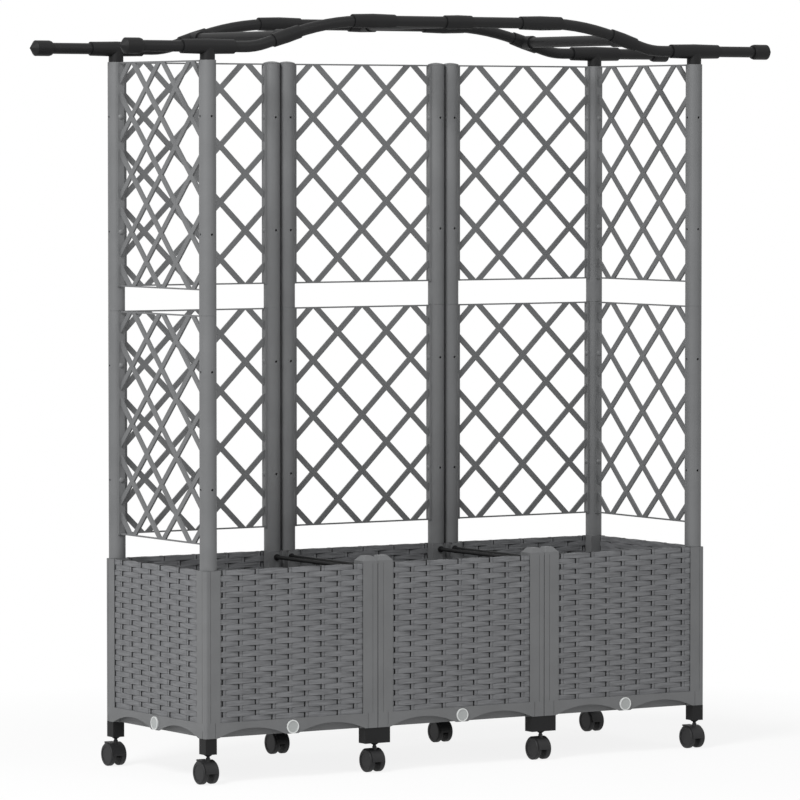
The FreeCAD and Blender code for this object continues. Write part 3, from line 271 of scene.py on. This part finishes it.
class PlanterStage(bpy.types.PropertyGroup):
    """The light, the floor and the camera."""

    sky: FloatProperty(name="Sky", description="Strength of the even light from all round",
                       default=0.33)
    key: FloatProperty(name="Key", description="Power of the large lamp on the left",
                       default=300.0, unit="POWER")
    front: FloatProperty(name="Front", description="Power of the lamp in front",
                         default=40.0, unit="POWER")
    camera_place: FloatVectorProperty(name="Camera", description="Where the camera stands", size=3,
                                      default=(-5.81755, -9.16533, 1.26573), subtype="TRANSLATION")
    camera_turn: FloatProperty(name="Turn", description="Camera's turn about the vertical",
                               default=-0.563842, subtype="ANGLE")
    camera_dip: FloatProperty(name="Dip", description="How far the camera looks down",
                              default=0.0490087, subtype="ANGLE")
    focal: FloatProperty(name="Focal length", description="For a 36 mm sensor", default=239.06,
                         subtype="DISTANCE_CAMERA")


# ------------------------------------------------------------------ mesh helpers


def mesh_object(name, vertices, faces, finish, smooth=True):
    """A mesh with one finish, smooth within its sharp edges, linked to the scene."""
    mesh = bpy.data.meshes.new(name)
    mesh.from_pydata(vertices, [], faces)
    mesh.materials.append(FINISHES[finish])
    mesh.polygons.foreach_set("use_smooth", [smooth] * len(faces))
    mesh.validate()
    mesh.set_sharp_from_angle(angle=SHARP)
    mesh.update()
    piece = bpy.data.objects.new(name, mesh)
    bpy.context.scene.collection.objects.link(piece)
    return piece


def grid_faces(start, columns, rows):
    """Quads of a grid of points stored row by row."""
    return [(start + r * columns + c, start + r * columns + c + 1,
             start + (r + 1) * columns + c + 1, start + (r + 1) * columns + c)
            for r in range(rows - 1) for c in range(columns - 1)]


def box_mesh(name, middle, half_along, half_across, half_height, finish):
    """A box given by its middle and half sizes along two level directions and up."""
    corners = [middle + a * half_along + b * half_across + UP * c * half_height
               for a in (-1, 1) for b in (-1, 1) for c in (-1, 1)]
    faces = [(0, 1, 3, 2), (4, 6, 7, 5), (0, 4, 5, 1), (2, 3, 7, 6), (0, 2, 6, 4), (1, 5, 7, 3)]
    return mesh_object(name, corners, faces, finish, smooth=False)


# ------------------------------------------------------------------ woven walls


# Where half a strand is sampled, as shares of its length from the crest: closer where it bends.
STRAND_STOPS = (0.06, 0.13, 0.22, 0.36, 0.6, 1.0)


def strand_spans(weave, start, odd, gap_left):
    """(left, right) ends of the strands in a row: they leave the slots' stakes and gaps free."""
    reach = 2 * weave.slot_pitch
    first = (start + (weave.slot_pitch if odd else 0)) % reach - reach
    half = weave.stake_width / 2
    before, after = (half + weave.slot_gap, half) if gap_left else (half, half + weave.slot_gap)
    return [(first + i * reach + after, first + (i + 1) * reach - before)
            for i in range(math.ceil((weave.length - first) / reach))]


def strand_height(x, left, right, weave, gap_left):
    """How far a strand stands out at x: two straight flanks that dive from a rounded crest.

    The crest is at 0. The flank beside a gap dives deeper than the one at a stake.
    """
    bend = weave.crest_round
    from_crest = math.hypot(x - (left + right) / 2, bend) - bend
    beside_gap = (x > (left + right) / 2) == gap_left
    relief = weave.relief if beside_gap else weave.stake_relief
    return -relief * from_crest / (math.hypot((right - left) / 2, bend) - bend)


def strand(vertices, faces, weave, left, right, low, high, gap_left):
    """One strand as a strip along X with rounded long edges, clipped to the wall.

    Its top edge draws in where it dips, which leaves the dark line under the strand above.
    """
    middle, half = (left + right) / 2, (right - left) / 2
    stops = [middle + side * half * share for side in (-1, 1) for share in STRAND_STOPS] + [middle]
    stops = sorted({min(max(x, 0.0), weave.length) for x in stops})
    if len(stops) < 2:
        return
    edge = weave.edge_round
    start = len(vertices)
    for x in stops:
        out = strand_height(x, left, right, weave, gap_left)
        top = high + weave.pinch * out / weave.relief
        section = [(low, -weave.depth), (low, out - edge), (low + edge, out),
                   (top - edge, out), (top, out - edge), (top, -weave.depth)]
        vertices += [(x, y, z) for z, y in section]
    faces += grid_faces(start, len(section), len(stops))
    last = start + (len(stops) - 1) * len(section)
    faces.append(tuple(range(start, start + len(section))))
    faces.append(tuple(reversed(range(last, last + len(section)))))


def stake_fronts(weave, gap_left):
    """How far the left and right edges of a stake's front stand out, deeper away from the gap."""
    near, far = -weave.stake_drop, -weave.stake_drop - weave.stake_lean
    return (near, far) if gap_left else (far, near)


def stakes(weave, start, height, section):
    """Upright bars at every slot, each a section in X and Y drawn from the foot to the top."""
    vertices, faces = [], []
    x = start % weave.slot_pitch
    while x < weave.length:
        first = len(vertices)
        vertices += [(x + across, out, z)
                     for z in (0, height) for across, out in reversed(section)]
        faces += grid_faces(first, len(section), 2)
        faces.append(tuple(range(first + len(section), first + 2 * len(section))))
        x += weave.slot_pitch
    return vertices, faces


def woven_face(weave, height, start, gap_left):
    """Stakes and strands of one face: X along the wall, Z up, and the crests at Y = 0."""
    half, round_off = weave.stake_width / 2, 0.7 * MM
    left_out, right_out = stake_fronts(weave, gap_left)
    vertices, faces = stakes(weave, start, height,
                             [(-half, left_out - round_off), (-half + round_off, left_out),
                              (half - round_off, right_out), (half, right_out - round_off)])
    row_height = height / weave.rows
    for row in range(weave.rows):
        high = height - row * row_height
        for left, right in strand_spans(weave, start, row % 2, gap_left):
            strand(vertices, faces, weave, left, right, high - row_height, high, gap_left)
    return vertices, faces


def stake_cores(weave, height, start, gap_left):
    """The sides of the stakes, just inside their fronts, which lie in the shadow of the slots."""
    # The cores take the dark recess finish: painted shade on the stake sides.
    set_in, sunk = 0.1 * MM, 0.5 * MM
    half = weave.stake_width / 2 - set_in
    left_out, right_out = stake_fronts(weave, gap_left)
    return stakes(weave, start, height,
                  [(-half, -weave.depth), (-half, left_out - sunk),
                   (half, right_out - sunk), (half, -weave.depth)])


def woven_wall(name, node_name, weave, start, outward, gap_left):
    """Both woven faces of a wall and the web between them, in place of its flat CAD panel."""
    layers = (("strands", woven_face, "woven_pp"), ("cores", stake_cores, "recess_shade_pp"))
    low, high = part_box(node_name)
    middle, height = (low + high) / 2, high.z - low.z
    half_thick, half_length = abs((high - low).dot(outward)) / 2, weave.length / 2
    pieces = []
    for side, facing in (("outer", outward), ("inner", -outward)):
        right = UP.cross(facing)
        begin = start if side == "outer" else weave.length - start
        foot = Vector((middle.x, middle.y, low.z))
        origin = foot + facing * half_thick - right * half_length
        for layer, build, finish in layers:
            vertices, faces = build(weave, height, begin, gap_left)
            placed = [origin + right * x + facing * y + UP * z for x, y, z in vertices]
            pieces.append(mesh_object(f"{name}_{side}_{layer}", placed, faces, finish))
    # The web between the two faces takes the dark recess finish: painted shade behind the strands.
    under_column, half_web, trim = 4.6 * MM, 0.15 * MM, 0.2 * MM
    pieces.append(box_mesh(f"{name}_web", middle, UP.cross(outward) * (half_length + under_column),
                           outward * half_web, height / 2 - trim, "recess_shade_pp"))
    for piece in pieces:
        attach(piece, ROOT)
    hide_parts(node_name)


# ------------------------------------------------------------------ trays and plugs


def tray_ribs(module):
    """The rim under a trough that shows through the arches of the skirt, one rib on each side."""
    rise, set_back, corner_block = 2.2 * MM, 13.5 * MM, 38.0 * MM
    half_thick, half_height = 1.4 * MM, 1.8 * MM
    low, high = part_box(f"base_tray_{module}")
    middle = Vector(((low.x + high.x) / 2, (low.y + high.y) / 2, low.z + rise))
    half = (high.y - low.y) / 2
    for place, outward in (("front", Vector((0, -1, 0))), ("back", Vector((0, 1, 0))),
                           ("left", Vector((-1, 0, 0))), ("right", Vector((1, 0, 0)))):
        rib = box_mesh(f"tray_rib_{module}_{place}", middle + outward * (half - set_back),
                       UP.cross(outward) * (half - corner_block), outward * half_thick,
                       half_height, "moulded_pp")
        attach(rib, ROOT)


def seam_shade(seam, side, face, way):
    """A dark strip in the groove where the columns and trays of two modules meet: painted shade.
    """
    module_gap, sunk, half_wide, half_deep = 0.8 * MM, 0.6 * MM, 1.3 * MM, 1.5 * MM
    low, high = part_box("base_tray_middle")
    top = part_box("columns_upper")[1].z
    x = side * ((high.x - low.x) / 2 + module_gap / 2)
    y = way * ((high.y - low.y) / 2 - sunk - half_deep)
    strip = box_mesh(f"seam_shade_{seam}_{face}", Vector((x, y, (low.z + top) / 2)),
                     Vector((half_wide, 0, 0)), Vector((0, half_deep, 0)),
                     (top - low.z) / 2 - sunk, "recess_shade_pp")
    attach(strip, ROOT)


def plug_web(node_name):
    """The thin, slightly dished middle of a drain plug inside its rim, drawn greyer as painted
    shade.
    """
    rim_height, steps = 0.85 * MM, 40
    dish = ((6.0 * MM, -0.05 * MM), (11.2 * MM, 0.0))
    dish_middle = -0.1 * MM
    low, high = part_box(node_name)
    centre = (low + high) / 2
    width, depth = high.x - low.x, high.y - low.y
    if width < depth:
        outward = Vector((math.copysign(1, centre.x), 0, 0))
    else:
        outward = Vector((0, math.copysign(1, centre.y), 0))
    face = centre + outward * (min(width, depth) / 2 - rim_height)
    across = UP.cross(outward)
    turns = [math.tau * i / steps for i in range(steps)]
    vertices, faces = [face + outward * dish_middle], []
    for radius, rise in dish:
        ring = face + outward * rise
        vertices += [ring + radius * (across * math.cos(turn) + UP * math.sin(turn))
                     for turn in turns]
    for i in range(steps):
        after = (i + 1) % steps
        faces.append((0, 1 + i, 1 + after))
        faces.append((1 + i, 1 + steps + i, 1 + steps + after, 1 + after))
    web = mesh_object(f"{node_name}_web", vertices, faces, "plug_web_shade_pp")
    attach(web, node_name.replace("drain_plug_", "plug_"))


# ------------------------------------------------------------------ operators


class PLANTER_OT_finishes(bpy.types.Operator):
    """Makes the finishes that the pieces take"""

    bl_idname = "planter.finishes"
    bl_label = "Make Finishes"

    def execute(self, context):
        FINISHES.update(make_materials(context.scene.planter_colours))
        return {"FINISHED"}


class PLANTER_OT_woven_walls(bpy.types.Operator):
    """Puts woven-look panels between the columns"""

    bl_idname = "planter.woven_walls"
    bl_label = "Weave Walls"

    def execute(self, context):
        weave = context.scene.planter_weave
        for place in MODULES:
            woven_wall(f"woven_front_{place}", f"wall_front_{place}", weave, weave.front_start,
                       Vector((0, -1, 0)), gap_left=True)
            woven_wall(f"woven_back_{place}", f"wall_back_{place}", weave, weave.front_start,
                       Vector((0, 1, 0)), gap_left=False)
        for place, side in (("left", -1), ("right", 1)):
            woven_wall(f"woven_end_{place}", f"wall_end_{place}", weave, weave.end_start,
                       Vector((side, 0, 0)), gap_left=side > 0)
        return {"FINISHED"}


class PLANTER_OT_box(bpy.types.Operator):
    """Finishes the trays, columns and caps; adds ribs, and painted shade in the module seams"""

    bl_idname = "planter.box"
    bl_label = "Finish Box"

    def execute(self, context):
        for module in MODULES:
            dress(f"base_tray_{module}", "moulded_pp")
            tray_ribs(module)
        for name in ("columns_lower", "columns_upper", "top_caps"):
            dress(name, "moulded_pp")
        # Dark strips in the seams are painted shade.
        for seam, side in (("left", -1), ("right", 1)):
            for face, way in (("front", -1), ("back", 1)):
                seam_shade(seam, side, face, way)
        return {"FINISHED"}


class PLANTER_OT_plugs(bpy.types.Operator):
    """Finishes the drain plugs and adds their thin middles, greyer as painted shade"""

    bl_idname = "planter.plugs"
    bl_label = "Finish Drain Plugs"

    def execute(self, context):
        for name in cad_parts:
            if name.startswith("drain_plug"):
                dress(name, "natural_pp")
                plug_web(name)
        return {"FINISHED"}


class PLANTER_OT_feet(bpy.types.Operator):
    """Finishes the feet and the tie rods across the trough"""

    bl_idname = "planter.feet"
    bl_label = "Finish Feet"

    def execute(self, context):
        for name in ("feet", "tie_rods"):
            dress(name, "black_pp")
        return {"FINISHED"}


class PLANTER_OT_casters(bpy.types.Operator):
    """Finishes the casters and their stems"""

    bl_idname = "planter.casters"
    bl_label = "Finish Casters"

    def execute(self, context):
        dress("caster_stems", "oxide_steel")
        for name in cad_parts:
            if name.startswith(("caster_hood", "caster_wheels", "brake_lever")):
                dress(name, "nylon")
        return {"FINISHED"}


class PLANTER_OT_trellis(bpy.types.Operator):
    """Finishes the posts, the trellis and its screws"""

    bl_idname = "planter.trellis"
    bl_label = "Finish Trellis"

    def execute(self, context):
        for name in ("posts_lower", "posts_upper", "trellis_left", "trellis_right",
                     "trellis_back_left", "trellis_back_middle", "trellis_back_right",
                     "trellis_screws"):
            dress(name, "moulded_pp")
        return {"FINISHED"}


class PLANTER_OT_rails(bpy.types.Operator):
    """Finishes the arched top rails, their crossbars and fittings"""

    bl_idname = "planter.rails"
    bl_label = "Finish Rails"

    def execute(self, context):
        for name in ("rail_bent_tubes", "rail_centre_tubes", "crossbars"):
            dress(name, "powder_coat")
        for name in ("rail_sleeves", "rail_end_caps", "post_tees", "cross_tees"):
            dress(name, "black_pp")
        return {"FINISHED"}


# ------------------------------------------------------------------ light, floor and camera


def area_lamp(name, place, target, width, power):
    """A square soft lamp at a place, aimed at a target. Width in metres, power in watts."""
    lamp = bpy.data.lights.new(name, "AREA")
    lamp.shape = "SQUARE"
    lamp.size = width
    lamp.energy = power
    stand = bpy.data.objects.new(name, lamp)
    stand.location = place
    stand.rotation_euler = (Vector(target) - Vector(place)).to_track_quat("-Z", "Y").to_euler()
    bpy.context.scene.collection.objects.link(stand)


def background_rays(tree):
    """1 where the camera, a reflection or a see-through ray looks at the background, else 0."""
    rays = add_node(tree, "ShaderNodeLightPath").outputs
    indirect = add_node(tree, "ShaderNodeMath", {"operation": "MAXIMUM"},
                        links={0: rays["Is Glossy Ray"], 1: rays["Is Transmission Ray"]})
    either = add_node(tree, "ShaderNodeMath", {"operation": "MAXIMUM"},
                      links={0: rays["Is Camera Ray"], 1: indirect.outputs["Value"]})
    return either.outputs["Value"]


def floor_material():
    """White paint under the planter that melts into the white background further out.

    The share of plain white grows with the distance from the middle, in metres. It stays under 1
    below the planter, where the paint keeps the soft shadow.
    """
    near, far, white_below, paint_grey = 0.9, 1.6, 0.86, 0.96
    material, tree = new_material("white_painted_floor")
    place = add_node(tree, "ShaderNodeTexCoord").outputs["Object"]
    distance = add_node(tree, "ShaderNodeVectorMath", {"operation": "LENGTH"}, links={0: place})
    fade = add_node(tree, "ShaderNodeMapRange",
                    inputs={"From Min": near, "From Max": far, "To Min": white_below},
                    links={"Value": distance.outputs["Value"]})
    seen = add_node(tree, "ShaderNodeMath", {"operation": "MULTIPLY"},
                    links={0: background_rays(tree), 1: fade.outputs["Result"]})
    paint = add_node(tree, "ShaderNodeBsdfDiffuse",
                     inputs={"Color": (paint_grey, paint_grey, paint_grey, 1.0)})
    glow = add_node(tree, "ShaderNodeEmission", inputs={"Strength": 1.0})
    mix = add_node(tree, "ShaderNodeMixShader",
                   links={"Fac": seen.outputs["Value"], 1: paint.outputs["BSDF"],
                          2: glow.outputs["Emission"]})
    add_node(tree, "ShaderNodeOutputMaterial", links={"Surface": mix.outputs["Shader"]})
    return material


def white_sky(strength):
    """Even light from all round, seen as plain white by the camera and in reflections."""
    world = bpy.data.worlds.new("white_sky")
    world.use_nodes = True
    tree = world.node_tree
    tree.nodes.clear()
    seen = add_node(tree, "ShaderNodeMapRange", inputs={"To Min": strength, "To Max": 1.0},
                    links={"Value": background_rays(tree)})
    sky = add_node(tree, "ShaderNodeBackground", inputs={"Color": (1.0, 1.0, 1.0, 1.0)},
                   links={"Strength": seen.outputs["Result"]})
    add_node(tree, "ShaderNodeOutputWorld", links={"Surface": sky.outputs["Background"]})
    bpy.context.scene.world = world


class PLANTER_OT_stage(bpy.types.Operator):
    """Sets the floor, the lamps and the camera"""

    bl_idname = "planter.stage"
    bl_label = "Set Stage"

    def execute(self, context):
        stage = context.scene.planter_stage
        reach, below_wheels, sight = 6.0, 0.5 * MM, 100.0
        corners = [(-reach, -reach, 0), (reach, -reach, 0), (reach, reach, 0), (-reach, reach, 0)]
        FINISHES["floor"] = floor_material()
        floor = mesh_object("floor", corners, [(0, 1, 2, 3)], "floor", smooth=False)
        floor.location.z = -below_wheels
        white_sky(stage.sky)
        area_lamp("key_lamp", place=(-4.2, -2.1, 4.5), target=(0, 0, 0.7), width=1.8,
                  power=stage.key)
        area_lamp("front_lamp", place=(1.2, -4.6, 4.2), target=(0, 0, 0.5), width=2.2,
                  power=stage.front)
        lens = bpy.data.cameras.new("camera")
        lens.lens = stage.focal
        lens.clip_end = sight
        camera = bpy.data.objects.new("camera", lens)
        camera.location = stage.camera_place
        camera.rotation_euler = Euler((math.pi / 2 - stage.camera_dip, 0, stage.camera_turn))
        context.scene.collection.objects.link(camera)
        context.scene.camera = camera
        context.scene.view_settings.view_transform = "Standard"
        return {"FINISHED"}


# ------------------------------------------------------------------ panel and registration


class PLANTER_PT_panel(bpy.types.Panel):
    """Lists the steps in the sidebar"""

    bl_idname = "PLANTER_PT_panel"
    bl_label = "Trellis Planter"
    bl_space_type = "VIEW_3D"
    bl_region_type = "UI"
    bl_category = "Planter"

    def draw(self, context):
        for step in STEPS:
            self.layout.operator(step.bl_idname)
        for group in ("planter_colours", "planter_weave", "planter_stage"):
            settings = getattr(context.scene, group)
            box = self.layout.box()
            for name in settings.__annotations__:
                box.prop(settings, name)


STEPS = (
    PLANTER_OT_finishes,
    PLANTER_OT_woven_walls,
    PLANTER_OT_box,
    PLANTER_OT_plugs,
    PLANTER_OT_feet,
    PLANTER_OT_casters,
    PLANTER_OT_trellis,
    PLANTER_OT_rails,
    PLANTER_OT_stage,
)
CLASSES = (PlanterColours, PlanterWeave, PlanterStage, *STEPS, PLANTER_PT_panel)


def register():
    """Make the settings, steps and panel known to Blender."""
    for cls in CLASSES:
        bpy.utils.register_class(cls)
    bpy.types.Scene.planter_colours = PointerProperty(type=PlanterColours)
    bpy.types.Scene.planter_weave = PointerProperty(type=PlanterWeave)
    bpy.types.Scene.planter_stage = PointerProperty(type=PlanterStage)


def unregister():
    """Take them away again."""
    del bpy.types.Scene.planter_stage
    del bpy.types.Scene.planter_weave
    del bpy.types.Scene.planter_colours
    for cls in reversed(CLASSES):
        bpy.utils.unregister_class(cls)


def main():
    """Run every step in order."""
    register()
    for step in STEPS:
        group, name = step.bl_idname.split(".")
        getattr(getattr(bpy.ops, group), name)()
    bpy.context.view_layer.update()


if __name__ == "__main__":
    main()
